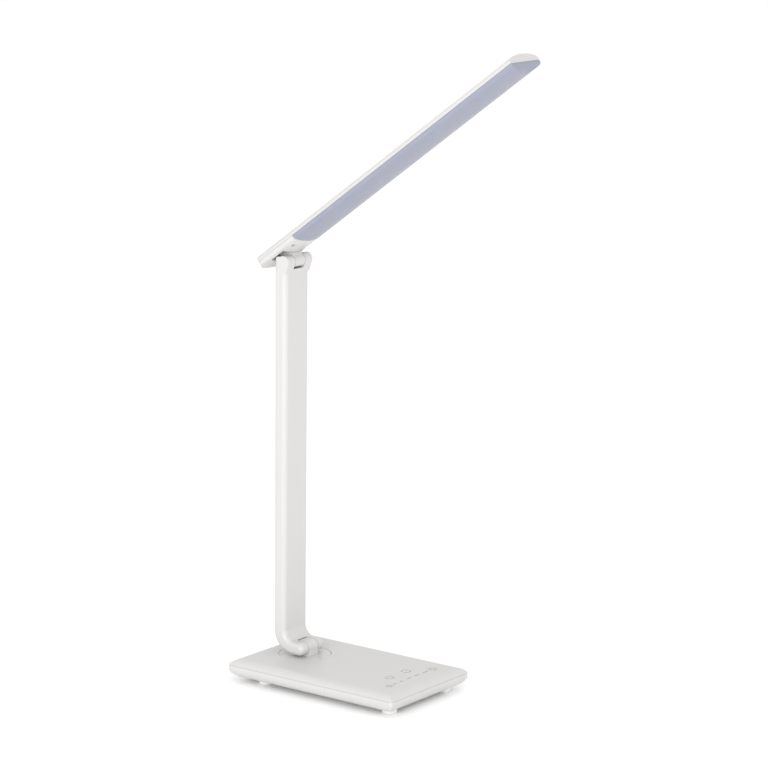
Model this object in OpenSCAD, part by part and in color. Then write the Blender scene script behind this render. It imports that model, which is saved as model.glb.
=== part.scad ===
// Folding LED desk lamp. Lengths are millimetres and +Z is up.
// The origin is on the table under the centre of the base. The front of the base faces -Y.
// X is the direction of both hinge axes.

/* [Base] */
// Length of the base, front to back
base_len = 192; // [178:1:216]
// Width of the base
base_w = 121; // [112:0.5:150]
// Height of the flat top above the table
base_top_z = 22; // [21.5:0.1:26]
// Height of the parting line between the two covers
base_part_z = 16.5; // [16:0.1:17.5]
// Distance over which the top rolls down to the parting line
top_roll_w = 11; // [9:0.5:14]
// Radius of the rounded lower edge
low_roll_r = 12.8; // [11:0.1:13]
// Radius of the corners seen from above
base_corner_r = 3.5; // [3:0.5:9]
// Wall of both covers
base_wall = 2.2; // [1.8:0.1:2.6]
// Gap of the parting line
part_gap = 0.2; // [0.2:0.05:0.4]

/* [Feet] */
// Radius of a foot pad
foot_r = 7; // [6:0.5:9]
// Sideways distance of a foot from the middle
foot_x = 42; // [38:1:44]
// Distance of the front feet from the front edge
foot_front_in = 15.9; // [15:0.1:20]
// Distance of the rear feet from the rear edge
foot_rear_in = 32.1; // [28:0.1:36]
// Depth of the recess that a foot is glued in
foot_recess = 0.5; // [0.3:0.1:0.8]

/* [Touch panel] */
// Width of the touch sheet under the top
sheet_w = 74; // [60:1:75]
// Length of the touch sheet, front to back
sheet_len = 32; // [26:1:36]

/* [Turntable] */
// Distance of the turning axis from the rear edge of the base
turn_in = 45.1; // [43:0.1:48]
// Radius of the turntable disc
disc_r = 24.8; // [23:0.1:27]
// Thickness of the disc
disc_t = 2.4; // [2:0.1:2.6]
// Running gap round the disc
disc_gap = 0.25; // [0.2:0.05:0.6]
// Outer radius of the hollow spindle
spindle_r = 7; // [6:0.1:8]
// Bore of the spindle, for the lead
spindle_bore_r = 4; // [3:0.1:4.6]
// Radius of the flange under the disc
flange_r = 20; // [18.5:0.5:22]

/* [Arm] */
// Width of the arm
arm_w = 35.5; // [33:0.5:38]
// Thickness of the upright
arm_t = 13.8; // [13:0.1:16]
// Radius of the arm's long edges
arm_edge_r = 4.5; // [3:0.1:5]
// Wall of the arm
arm_wall = 2; // [1.6:0.1:2.4]
// Height of the lower hinge above the table
low_hinge_z = 29.65; // [29:0.05:33]
// Height of the upper hinge above the table
top_hinge_z = 397; // [340:1:440]
// Thickness of the foot, and diameter of its rounded nose
foot_t = 12.1; // [11.8:0.1:13]
// Distance of the lower hinge in front of the inner bend's centre
bend_reach = 5.05; // [4:0.05:8]
// Radius of the inner bend
bend_in_r = 10.5; // [9:0.5:14]

/* [Hinges] */
// Distance of the lower hinge in front of the turning axis
low_hinge_in = 4.35; // [3:0.05:6]
// Radius of the hinge shafts
shaft_r = 2.5; // [2:0.1:3]
// Half width of the knuckles
knuckle_half = 7; // [6.5:0.1:8.5]
// Thickness of a friction washer
washer_t = 0.5; // [0.4:0.05:0.8]
// Radius of the upper barrel
top_barrel_r = 5.9; // [5.7:0.1:6.6]
// Distance of the upper hinge behind the front of the arm
top_hinge_in = 2.5; // [2:0.1:4]
// Gap between a knuckle and the floor of its notch
notch_gap = 1.2; // [0.8:0.1:1.6]
// Running clearance of a shaft in a bore
fit_gap = 0.05; // [0.02:0.01:0.09]

/* [Head] */
// Angle of the head above the horizontal
head_angle = 36.06; // [0:0.01:45]
// Reach of the head in front of its hinge
head_reach = 321.5; // [260:0.5:340]
// Overhang of the head behind its hinge
head_tail = 26.5; // [25:0.5:32]
// Width of the head
head_w = 45; // [43:0.5:47]
// Height of the head's belly above the hinge axis
head_low = 5.7; // [5.3:0.1:6.1]
// Height of the head's parting line above the hinge axis
head_part = 14.1; // [14:0.1:14.5]
// Height of the middle of the head's top above the hinge axis
head_top = 22.1; // [21.8:0.1:23.5]
// Radius across the shallow crown of the head's top
crown_r = 60; // [56:1:90]
// Wall of the head covers
head_wall = 1.8; // [1.4:0.1:1.9]
// Distance of the diffuser's near end in front of the hinge
diffuser_start = 27; // [26:0.5:32]
// Number of diode pairs along the light board
led_count = 24; // [12:1:30]

/* [Hidden] */
$fn = 64;

// Room for cuts that run past a face
over = 1;
// Gap between parts of one body that only lie side by side
seat_gap = 0.05;

// Places along the base
turn_y = base_len / 2 - turn_in;
low_hinge_y = turn_y - low_hinge_in;
foot_front_y = base_len / 2 - foot_front_in;
foot_rear_y = base_len / 2 - foot_rear_in;

// Heights in the base
base_bottom_z = base_part_z - low_roll_r;
inner_top_z = base_top_z - base_wall;
inner_bottom_z = base_bottom_z + base_wall;
top_roll_h = base_top_z - base_part_z;
top_roll_r = (top_roll_w * top_roll_w + top_roll_h * top_roll_h) / (2 * top_roll_h);

// Screws: shank, bore for its thread, clearance hole
screw_r = 1.2;
thread_r = screw_r + 0.04;
clear_r = screw_r + 0.3;
screw_head_r = 2.6;
screw_head_t = 1.8;

// Posts that join the two covers stand over the feet
post_r = 4.5;
boss_r = 3.5;
post_top_z = 13;
foot_top_z = base_bottom_z + foot_recess;
head_seat_z = foot_top_z + 2.8;
feet_at = [
    [-foot_x, -foot_front_y], [foot_x, -foot_front_y],
    [-foot_x, foot_rear_y], [foot_x, foot_rear_y]
];

// Half side of the bearing plate, and thickness of the counterweight
plate_half = 28;
weight_t = 9;

// Control board in front of the counterweight
board_half = foot_x - post_r - 2.5;
board_long = 36;
board_front_y = -base_len / 2 + 8;
board_rear_y = board_front_y + board_long;
board_t = 1.6;
board_z = 13;
board_post_r = 2.5;
board_screw_long = 6;
board_at = [for (x = [-1, 1], y = [board_front_y + 4, board_rear_y - 4]) [x * (board_half - 4), y]];
sheet_t = 0.3;
plug_size = [5, 5, 2.6];
jack_plug_x = 22;
thin_lead_r = 0.9;
lead_over_z = inner_bottom_z + weight_t + thin_lead_r + 0.2;

// Counterweight, shaped like a U open to the rear
weight_half = base_w / 2 - low_roll_r - 1;
weight_front_y = board_rear_y + 8;
weight_rear_y = turn_y - plate_half - 11;
weight_wing_y = turn_y;
weight_wing_w = weight_half - plate_half - 5;
weight_post_r = 3;
weight_at = [
    for (x = [-1, 1], y = [weight_front_y + 8, weight_rear_y - 6]) [x * (weight_half - 9), y]
];

// Rim inside the base, upright, just clear of the top cover
lip_t = 1.4;
lip_top = base_part_z + 1.6;
lip_low = base_part_z - 3;
lip_rise = lip_top - base_top_z + top_roll_r;
lip_in = top_roll_w + 0.2 - sqrt(pow(top_roll_r - base_wall, 2) - pow(lip_rise, 2));

// Power jack in the rear edge, with its bore and centre pin
jack_w = 9;
jack_h = 8;
jack_z = base_part_z - 4.3;
jack_nose_r = 3.6;
jack_bore_r = 2.8;
jack_pin_r = 1;
jack_low_z = jack_z - jack_nose_r;
jack_end_y = base_len / 2 - low_roll_r + sqrt(pow(low_roll_r, 2) - pow(base_part_z - jack_low_z, 2)) - 0.2;
jack_body_y = jack_end_y - 3.6;
jack_front_y = jack_body_y - 7;

// Bearing of the turntable
disc_z = base_top_z - disc_t;
flange_t = 2.5;
flange_z = disc_z - flange_t;
slip_t = 1;
plate_t = 3;
plate_z = flange_z - 0.04 - slip_t - plate_t;
plate_post_r = 3.5;
plate_screw_long = 8;
plate_at = [for (x = [-1, 1], y = [-1, 1]) [x * (plate_half - 5), turn_y + y * (plate_half - 5)]];
bush_r = spindle_r + 2;
spring_r = spindle_r + 4;
spring_h = 1.2;
spring_t = 0.7;
nut_t = 3.2;
nut_flats = 2 * spindle_r + 7;
nut_z = plate_z - spring_h - 0.1 - nut_t;
spindle_end_z = nut_z - 0.4;
disc_screw_x = 15;
disc_screw_r = 0.9;
disc_screw_head_r = 1.9;

// Arm
arm_half = arm_w / 2;
arm_front_y = low_hinge_y + bend_reach + bend_in_r;
arm_back_y = arm_front_y + arm_t;
arm_mid_y = (arm_front_y + arm_back_y) / 2;
foot_high_z = low_hinge_z + foot_t / 2;
bend_out_r = bend_in_r + foot_t;
bend_z = foot_high_z + bend_in_r;
bend_in_y = low_hinge_y + bend_reach;
bend_out_y = arm_back_y - bend_out_r;
half_depth = arm_t / 2 + 1;
low_knuckle_r = foot_t / 2;
low_tail_r = low_knuckle_r + 3.1;
low_notch_r = low_tail_r + notch_gap;
ear_in = knuckle_half + washer_t + 2 * seat_gap;

// Upper hinge
top_hinge_y = arm_front_y + top_hinge_in;
top_notch_z = top_hinge_z - top_barrel_r - notch_gap;
cavity_top_z = top_notch_z - 4;
cavity_front_y = low_hinge_y + low_notch_r + arm_wall;
// Ears, seen from the side, from the hinge axis
ear_back = arm_back_y - top_hinge_y;
ear_round = 2.5;
ear_tilt = 11;
fairing_drop = 11;

// Shafts and caps
shaft_end = arm_half - 2.2;
shaft_head_r = 3.8;
shaft_head_t = 2;
cap_t = 1.8;
cap_r = shaft_head_r + fit_gap;
cap_out_x = arm_half - 0.7;
shaft_head_x = cap_out_x - cap_t - 0.2 - shaft_head_t;
washer_r = low_knuckle_r - 0.8;

// Inside of the arm
cover_half = 10.8;
cover_low_z = 70;
cover_high_z = top_hinge_z - 27;
cover_t = arm_wall;
stiffener_half = 9;
stiffener_t = 2;
stiffener_in = 8;
arm_boss_r = 4;
arm_screw_in = 20;
arm_screw_step = (cover_high_z - cover_low_z) / 2 - arm_screw_in;
arm_screw_z = [for (k = [0:2]) cover_low_z + arm_screw_in + k * arm_screw_step];
lead_r = 1.5;
arm_lead_x = 6.5;
lead_low_z = low_hinge_z + 1;

// Head section: a shallow crown above, a flat belly with round sides below
head_mid = head_part - 0.5;
head_half = head_w / 2;
top_edge_r = 4;
belly_side_r = 4.3;
belly_h = head_mid - head_low;
belly_side_x = head_half - belly_side_r;
belly_squares = pow(belly_side_x, 2) + pow(belly_h, 2) - pow(belly_side_r, 2);
belly_r = belly_squares / (2 * (belly_h - belly_side_r));
edge_top = head_top - crown_r + sqrt(pow(crown_r - top_edge_r, 2) - pow(head_half - top_edge_r, 2));
tip_low_r = belly_h;
tip_top_r = 0.8;
tail_low_r = belly_h;
tail_top_r = 5;
tip_plan_r = 1.5;
tail_plan_r = 10;
least_r = 0.4;
// Keeps the three outlines of the head from touching along a line
skin = 0.06;

// Hinge pocket in the underside of the head
pocket_half = arm_half + 0.35;
pocket_front = top_barrel_r + 0.4;
pocket_back = ear_back - 0.6;
pocket_top = 12.2;
pocket_wall = 1.6;
neck_front = top_barrel_r - 0.5;
neck_back = 7.5;
flange_half = 11.5;
flange_front = 15;
flange_back = 19;
knuckle_flange_t = 2.3;
knuckle_seat = pocket_top + pocket_wall;
knuckle_bolts = [for (x = [-1, 1], y = [-12.5, 16.5]) [x * 8.5, y]];
bolt_r = 1;
knuckle_screw_long = 7;
channel_y = shaft_r + thin_lead_r + 1;
end_wall_t = 2;
head_screw_x = 14.5;
head_screws_at = [for (x = [-1, 1]) [x * head_screw_x, -17]];
head_screw_r = 1;
head_screw_head_r = 1.75;
head_screw_seat_z = 10;
diffuser_wall = 1.6;

// Light unit, from the top down
spreader_half = head_half - 6;
spreader_t = 1.2;
spreader_top = head_top - head_wall - 2.7;
spreader_low = spreader_top - spreader_t;
led_board_half = 8;
led_board_t = 1.4;
led_board_low = spreader_low - led_board_t;
led_size = [2.8, 3.5, 0.7];
led_x = 4;
light_start = -diffuser_start - 9;
light_end = -head_reach + 14;
reflector_half = head_half - 3.3;
reflector_low = led_board_low - 0.6;
ledge_out = head_half - 2.6;
ledge_in = head_half - 4.8;
reflector_slot = led_x + led_size[0] / 2 + 0.8;
rib_t = 2.4;
light_screw_x = 10.5;
light_screw_r = 0.9;
rib_count = 6;
rib_step = (light_end + 12 - light_start) / (rib_count - 1);
rib_at = [for (k = [0:rib_count - 1]) light_start - 6 + k * rib_step];
// Outer surface of the crown above the two kinds of screws, less the skin left over them
crown_mid_z = head_top - crown_r;
light_hole_top = crown_mid_z + sqrt(pow(crown_r, 2) - pow(light_screw_x + light_screw_r, 2)) - 0.9;
head_hole_top = crown_mid_z + sqrt(pow(crown_r, 2) - pow(head_screw_x + head_screw_r, 2)) - 0.9;

// A box with four corner radii, from the lower left one on, anticlockwise
module soft_box(x0, x1, y0, y1, r) {
    difference() {
        translate([x0, y0]) square([x1 - x0, y1 - y0]);
        if (r[0] > 0) corner_cut([x0, y0], [1, 1], r[0]);
        if (r[1] > 0) corner_cut([x1, y0], [-1, 1], r[1]);
        if (r[2] > 0) corner_cut([x1, y1], [-1, -1], r[2]);
        if (r[3] > 0) corner_cut([x0, y1], [1, -1], r[3]);
    }
}

module corner_cut(p, way, r) {
    low = [min(p[0] - way[0] * over, p[0] + way[0] * r), min(p[1] - way[1] * over, p[1] + way[1] * r)];
    difference() {
        translate(low) square(r + over);
        translate([p[0] + way[0] * r, p[1] + way[1] * r]) circle(r);
    }
}

module round_rect(w, l, r) {
    soft_box(-w / 2, w / 2, -l / 2, l / 2, [r, r, r, r]);
}

// A tube along a list of points, with round bends
module lead(points, r) {
    for (k = [0:len(points) - 2]) {
        step = points[k + 1] - points[k];
        long = norm(step);
        translate(points[k])
            rotate([0, acos(step[2] / long), atan2(step[1], step[0])])
                cylinder(h = long, r = r);
    }
    for (k = [1:1:len(points) - 2]) {
        translate(points[k]) sphere(r * 1.1);
    }
}

// A pan-head screw with its head at z = 0 and above, shank downwards
module screw(long, r = screw_r, head_r = screw_head_r, head_t = screw_head_t) {
    difference() {
        union() {
            translate([0, 0, -long]) cylinder(h = long, r = r);
            cylinder(h = head_t, r = head_r);
        }
        for (a = [0, 90]) {
            rotate(a) translate([-head_r * 0.6, -head_r * 0.13, head_t * 0.45])
                cube([head_r * 1.2, head_r * 0.26, head_t]);
        }
    }
}

// Side view of the base: rolled top edge above the parting line, round edge below it
module base_outline(long, i) {
    half = long / 2;
    intersection() {
        translate([-half, base_part_z]) square([long, top_roll_h - i]);
        union() {
            translate([top_roll_w - half, 0]) square([long - 2 * top_roll_w, base_top_z]);
            for (s = [-1, 1]) {
                translate([s * (half - top_roll_w), base_top_z - top_roll_r]) circle(top_roll_r - i);
            }
        }
    }
    intersection() {
        translate([-half, base_bottom_z + i]) square([long, low_roll_r - i]);
        union() {
            translate([low_roll_r - half, 0]) square([long - 2 * low_roll_r, base_part_z]);
            for (s = [-1, 1]) {
                translate([s * (half - low_roll_r), base_part_z]) circle(low_roll_r - i);
            }
        }
    }
}

// Outer form of the base, drawn in by i
module base_form(i) {
    intersection() {
        rotate([90, 0, 0]) linear_extrude(2 * base_len, center = true) base_outline(base_w, i);
        rotate([90, 0, 90]) linear_extrude(2 * base_w, center = true) base_outline(base_len, i);
        linear_extrude(2 * base_top_z)
            round_rect(base_w - 2 * i, base_len - 2 * i, max(base_corner_r - i, 0.6));
    }
}

module slab(z0, z1) {
    translate([-base_w, -base_len, z0]) cube([2 * base_w, 2 * base_len, z1 - z0]);
}

module at_each(places, z) {
    for (p = places) {
        translate([p[0], p[1], z]) children();
    }
}

module base_top_cover() {
    color("white") difference() {
        union() {
            difference() {
                base_form(0);
                slab(0, base_part_z + part_gap / 2);
                base_form(base_wall);
            }
            at_each(feet_at, post_top_z) cylinder(h = inner_top_z - post_top_z + 0.4, r = boss_r);
            translate([0, turn_y, flange_z + 0.6])
                cylinder(h = base_top_z - flange_z - 0.6 - 0.4, r = disc_r + disc_gap + base_wall);
        }
        translate([0, turn_y, 0]) cylinder(h = 2 * base_top_z, r = disc_r + disc_gap);
        at_each(feet_at, post_top_z - over) cylinder(h = inner_top_z - post_top_z, r = thread_r);
    }
}

module base_bottom_cover() {
    color("white") difference() {
        union() {
            difference() {
                base_form(0);
                slab(base_part_z - part_gap / 2, 2 * base_top_z);
                base_form(base_wall);
            }
            cover_lip();
            at_each(feet_at, base_bottom_z + base_wall / 2)
                cylinder(h = post_top_z - base_bottom_z - base_wall / 2, r = post_r);
            at_each(weight_at, base_bottom_z + base_wall / 2)
                cylinder(h = base_wall / 2 + weight_t - 0.3, r = weight_post_r);
            at_each(board_at, base_bottom_z + base_wall / 2)
                cylinder(h = board_z - base_bottom_z - base_wall / 2, r = board_post_r);
            at_each(plate_at, base_bottom_z + base_wall / 2)
                cylinder(h = plate_z - base_bottom_z - base_wall / 2, r = plate_post_r);
        }
        at_each(feet_at, base_bottom_z - over) cylinder(h = foot_recess + over, r = foot_r + 0.15);
        at_each(feet_at, base_bottom_z) cylinder(h = head_seat_z - base_bottom_z, r = screw_head_r + 0.3);
        at_each(feet_at, base_bottom_z) cylinder(h = post_top_z, r = clear_r);
        at_each(weight_at, inner_bottom_z + 1) cylinder(h = weight_t, r = thread_r);
        at_each(board_at, inner_bottom_z + 1) cylinder(h = board_z, r = 1.04);
        at_each(plate_at, inner_bottom_z + 1) cylinder(h = plate_z, r = thread_r);
        jack_opening();
    }
}

// Rim that stands up inside the top cover and hides the gap
module cover_lip() {
    w = base_w - 2 * lip_in;
    long = base_len - 2 * lip_in;
    difference() {
        intersection() {
            base_form(base_wall - 0.4);
            slab(lip_low, base_part_z - 1);
        }
        translate([0, 0, lip_low - over]) linear_extrude(base_top_z)
            round_rect(w - 2 * lip_t, long - 2 * lip_t, 1);
    }
    translate([0, 0, lip_low]) linear_extrude(lip_top - lip_low) difference() {
        round_rect(w, long, 1.6);
        round_rect(w - 2 * lip_t, long - 2 * lip_t, 1);
    }
}

module base_feet() {
    color("gainsboro") at_each(feet_at, 0) rotate_extrude() intersection() {
        soft_box(-foot_r, foot_r, 0, foot_top_z, [1.6, 1.6, 0.2, 0.2]);
        square([2 * foot_r, 2 * foot_top_z]);
    }
}

module base_screws() {
    color("silver") at_each(feet_at, head_seat_z) mirror([0, 0, 1])
        screw(inner_top_z - head_seat_z - 2.5);
}

module counterweight_plate() {
    color("dimgray") difference() {
        translate([0, 0, inner_bottom_z]) linear_extrude(weight_t) difference() {
            union() {
                translate([-weight_half, weight_front_y])
                    square([2 * weight_half, weight_rear_y - weight_front_y]);
                for (s = [-1, 1]) {
                    translate([s * (weight_half - weight_wing_w / 2) - weight_wing_w / 2, weight_front_y])
                        square([weight_wing_w, weight_wing_y - weight_front_y]);
                }
            }
            for (p = weight_at) {
                translate(p) circle(weight_post_r + 0.2);
            }
        }
    }
}

module counterweight_screws() {
    color("silver") at_each(weight_at, inner_bottom_z + weight_t)
        screw(weight_t - 2.2, head_r = weight_post_r + 1.6, head_t = 1.6);
}

module control_board() {
    color("darkgreen") difference() {
        translate([-board_half, board_front_y, board_z])
            cube([2 * board_half, board_rear_y - board_front_y, board_t]);
        at_each(board_at, board_z - over) cylinder(h = board_t + 2 * over, r = 1.3);
    }
}

module board_components() {
    top = board_z + board_t;
    mid_y = (board_front_y + board_rear_y) / 2;
    color("dimgray") {
        translate([-3.5, mid_y - 3.5, top]) cube([7, 7, 1]);
        translate([-2.5, mid_y - 13, top]) cube([5, 5, 0.9]);
        translate([-20, mid_y - 3, top]) cylinder(h = 3.4, r = 4);
        translate([-26, mid_y + 6, top]) cube([6, 6, 2.2]);
        for (x = [14, 21]) {
            translate([x, mid_y - 7, top]) cylinder(h = 4, r = 2.5);
        }
        translate([12, mid_y, top]) cube([12, 5, 3.4]);
        for (k = [0:5]) {
            translate([-12 + 2.6 * k, mid_y + 6, top]) cube([1.6, 0.9, 0.6]);
        }
        for (x = [0, jack_plug_x]) {
            translate([x - plug_size[0] / 2, board_rear_y - plug_size[1], top]) cube(plug_size);
        }
    }
}

module board_screws() {
    color("silver") at_each(board_at, board_z + board_t)
        screw(board_screw_long, r = 1, head_r = 2, head_t = 1.3);
}

module touch_sensor_sheet() {
    color("orange") translate([-sheet_w / 2, -base_len / 2 + top_roll_w + 1, inner_top_z - sheet_t])
        cube([sheet_w, sheet_len, sheet_t]);
}

module jack_opening() {
    translate([0, jack_body_y - 2, jack_z]) rotate([-90, 0, 0])
        cylinder(h = base_len, r = jack_nose_r + 0.1);
    translate([-jack_w / 2, jack_front_y, jack_z - jack_h / 2])
        cube([jack_w, jack_body_y - jack_front_y, jack_h]);
}

module dc_jack() {
    color("black") {
        difference() {
            union() {
                translate([-jack_w / 2, jack_front_y, jack_z - jack_h / 2])
                    cube([jack_w, jack_body_y - jack_front_y, jack_h]);
                translate([0, jack_body_y - 1, jack_z]) rotate([-90, 0, 0])
                    cylinder(h = jack_end_y - jack_body_y + 1, r = jack_nose_r);
            }
            translate([0, jack_front_y + 1.5, jack_z]) rotate([-90, 0, 0])
                cylinder(h = base_len, r = jack_bore_r);
        }
        translate([0, jack_front_y + 1, jack_z]) rotate([-90, 0, 0])
            cylinder(h = jack_end_y - jack_front_y - 2, r = jack_pin_r);
    }
}

module jack_lead() {
    side_x = plate_half + 2.6;
    start_y = jack_front_y + 3;
    over_y = weight_rear_y + 3;
    color("red") lead([
        [jack_w / 2, start_y, jack_z], [side_x, start_y, jack_z],
        [side_x, over_y, jack_z], [side_x, over_y, lead_over_z],
        [jack_plug_x, over_y, lead_over_z], [jack_plug_x, board_rear_y, lead_over_z]
    ], thin_lead_r);
}

module base_lead() {
    low_z = inner_bottom_z + thin_lead_r * 1.1 + 0.05;
    down_y = (weight_rear_y + turn_y - plate_half) / 2;
    color("white") lead([
        [0, board_rear_y, lead_over_z], [0, down_y, lead_over_z], [0, down_y, low_z],
        [0, turn_y, low_z], [0, turn_y, flange_z + 1]
    ], thin_lead_r);
}

module bearing_plate() {
    color("silver") difference() {
        translate([-plate_half, turn_y - plate_half, plate_z])
            cube([2 * plate_half, 2 * plate_half, plate_t]);
        translate([0, turn_y, 0]) cylinder(h = 2 * base_top_z, r = bush_r);
        at_each(plate_at, 0) cylinder(h = 2 * base_top_z, r = clear_r);
    }
}

module bearing_screws() {
    color("silver") at_each(plate_at, plate_z + plate_t) screw(plate_screw_long, head_t = 1.5);
}

module swivel_bush() {
    color("ivory") translate([0, turn_y, plate_z]) difference() {
        cylinder(h = plate_t, r = bush_r - fit_gap);
        translate([0, 0, -over]) cylinder(h = plate_t + 2 * over, r = spindle_r + fit_gap);
    }
}

// Side view of the lower knuckle and its neck, from the hinge axis, y to the right
module low_knuckle_outline() {
    neck_h = low_hinge_z - disc_z;
    circle(low_knuckle_r);
    translate([-low_knuckle_r + 0.3, -neck_h]) square([low_knuckle_r + low_tail_r - 1.3, neck_h]);
    intersection() {
        circle(low_tail_r);
        translate([0, -low_knuckle_r]) square([low_tail_r, 2 * low_knuckle_r]);
    }
}

module swivel_casting() {
    tail_channel_y = low_hinge_y + shaft_r + lead_r + 1.55;
    color("lightgray") difference() {
        union() {
            translate([0, turn_y, spindle_end_z])
                cylinder(h = flange_z - spindle_end_z + 1, r = spindle_r);
            translate([0, turn_y, flange_z]) cylinder(h = flange_t, r = flange_r);
            translate([0, low_hinge_y, low_hinge_z]) rotate([90, 0, 90])
                linear_extrude(2 * knuckle_half, center = true) low_knuckle_outline();
        }
        translate([0, turn_y, 0]) cylinder(h = disc_z - 0.4, r = spindle_bore_r);
        translate([0, tail_channel_y, flange_z]) cylinder(h = lead_low_z - flange_z, r = lead_r + 0.2);
        translate([0, tail_channel_y, lead_low_z]) rotate([-90, 0, 0])
            cylinder(h = low_tail_r, r = lead_r + 0.2);
        translate([0, tail_channel_y, lead_low_z]) sphere(lead_r + 0.2);
        translate([-knuckle_half - over, low_hinge_y, low_hinge_z]) rotate([0, 90, 0])
            cylinder(h = 2 * knuckle_half + 2 * over, r = shaft_r + fit_gap);
        for (s = [-1, 1]) {
            translate([s * disc_screw_x, turn_y, 0])
                cylinder(h = 2 * base_top_z, r = disc_screw_r + 0.2);
            translate([s * disc_screw_x, turn_y, 0])
                cylinder(h = flange_z + 1.3, r = disc_screw_head_r + 0.15);
        }
    }
}

module turntable_disc() {
    slot_half = knuckle_half + 0.15;
    color("white") translate([0, turn_y, disc_z]) difference() {
        rotate_extrude() intersection() {
            soft_box(-disc_r, disc_r, 0, disc_t, [0.2, 0.2, 0.5, 0.5]);
            square([2 * disc_r, 2 * disc_t]);
        }
        translate([-slot_half, low_hinge_y - turn_y - low_knuckle_r + 0.1, -over])
            cube([2 * slot_half, low_knuckle_r + low_tail_r - 0.9, disc_t + 2 * over]);
        for (s = [-1, 1]) {
            translate([s * disc_screw_x, 0, -over])
                cylinder(h = disc_t + over - 0.6, r = disc_screw_r + 0.04);
        }
    }
}

module disc_screws() {
    color("silver") for (s = [-1, 1]) {
        translate([s * disc_screw_x, turn_y, flange_z + 1.3]) mirror([0, 0, 1])
            screw(disc_z + 0.1 - flange_z, r = disc_screw_r, head_r = disc_screw_head_r, head_t = 1.1);
    }
}

module slip_washer() {
    color("ivory") translate([0, turn_y, plate_z + plate_t + 0.02]) difference() {
        cylinder(h = slip_t, r = flange_r - 1);
        translate([0, 0, -over]) cylinder(h = slip_t + 2 * over, r = spindle_r + 0.3);
    }
}

module spring_washer() {
    color("silver") translate([0, turn_y, plate_z - spring_h - 0.05]) rotate_extrude()
        polygon([
            [spindle_r + 0.2, 0], [spindle_r + 0.9, 0], [spring_r, spring_h - spring_t],
            [spring_r, spring_h], [spring_r - 0.6, spring_h], [spindle_r + 0.2, spring_t]
        ]);
}

module spindle_nut() {
    color("silver") translate([0, turn_y, nut_z]) difference() {
        cylinder(h = nut_t, r = nut_flats / 2 / cos(30), $fn = 6);
        translate([0, 0, -over]) cylinder(h = nut_t + 2 * over, r = spindle_r + fit_gap);
    }
}

// Half of the arm's section, along the radius of the bend: round at its outer edge
module outer_half(r_out, w, edge) {
    soft_box(r_out - half_depth, r_out, -w / 2, w / 2, [0, edge, edge, 0]);
}

// The same, round at its inner edge
module inner_half(r_in, w, edge) {
    soft_box(r_in, r_in + half_depth, -w / 2, w / 2, [edge, 0, 0, edge]);
}

// Turns a form made round Z so that it goes round X, from below towards the rear
module about_x() {
    rotate([0, 90, 0]) children();
}

// Outer form of the arm up to height top, drawn in by i
module arm_form(i, top) {
    w = arm_w - 2 * i;
    edge = arm_edge_r - i;
    nose_r = foot_t / 2 - i;
    translate([0, arm_mid_y, bend_z]) linear_extrude(top - bend_z) round_rect(w, arm_t - 2 * i, edge);
    translate([0, bend_out_y, bend_z]) about_x() rotate_extrude(angle = 90)
        outer_half(bend_out_r - i, w, edge);
    translate([0, bend_in_y, bend_z]) about_x() rotate_extrude(angle = 90)
        inner_half(bend_in_r + i, w, edge);
    translate([0, low_hinge_y, bend_z]) rotate([90, 90, 180])
        linear_extrude(bend_out_y - low_hinge_y) outer_half(bend_out_r - i, w, edge);
    translate([0, low_hinge_y, bend_z]) rotate([90, 90, 180])
        linear_extrude(bend_in_y - low_hinge_y) inner_half(bend_in_r + i, w, edge);
    translate([0, low_hinge_y, low_hinge_z]) about_x() rotate(180) rotate_extrude(angle = 180)
        intersection() {
            soft_box(-nose_r, nose_r, -w / 2, w / 2, [edge, edge, edge, edge]);
            translate([0, -w]) square([2 * nose_r, 2 * w]);
        }
}

// Side view of the ears at the top of the arm, from the hinge axis.
// Straight sides pass just inside the round ones, so that they cross them.
module ear_outline() {
    in_r = top_barrel_r - skin;
    turn = atan2(-fairing_drop, -top_hinge_in) - 360 - acos(in_r / norm([top_hinge_in, fairing_drop]));
    slope_z = in_r / cos(ear_tilt);
    round_y = ear_back - ear_round + skin / 2;
    round_z = slope_z - round_y * tan(ear_tilt) - (ear_round - skin) / cos(ear_tilt);
    circle(top_barrel_r);
    translate([round_y, round_z]) circle(ear_round);
    polygon([
        [in_r * cos(turn), in_r * sin(turn)], [-top_hinge_in, -fairing_drop],
        [ear_back, -fairing_drop], [ear_back, round_z],
        [round_y + (ear_round - skin) * sin(ear_tilt), round_z + (ear_round - skin) * cos(ear_tilt)],
        [in_r * sin(ear_tilt), in_r * cos(ear_tilt)]
    ]);
}

module ear_form() {
    translate([0, top_hinge_y, top_hinge_z]) difference() {
        rotate([90, 0, 90]) linear_extrude(arm_w, center = true) ear_outline();
        translate([0, 0, -2 * fairing_drop]) linear_extrude(4 * fairing_drop) for (s = [-1, 1]) {
            corner_cut([s * (arm_half + skin), ear_back + skin], [-s, -1], arm_edge_r);
        }
    }
}

module across_x(x0, x1, y, z, r) {
    translate([x0, y, z]) rotate([0, 90, 0]) cylinder(h = x1 - x0, r = r);
}

// Bores for a hinge shaft, its head and its cap
module hinge_bores(y, z) {
    across_x(-shaft_end - 0.2, arm_half, y, z, shaft_r + 0.02);
    across_x(shaft_head_x, arm_half + over, y, z, cap_r + 0.02);
}

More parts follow.
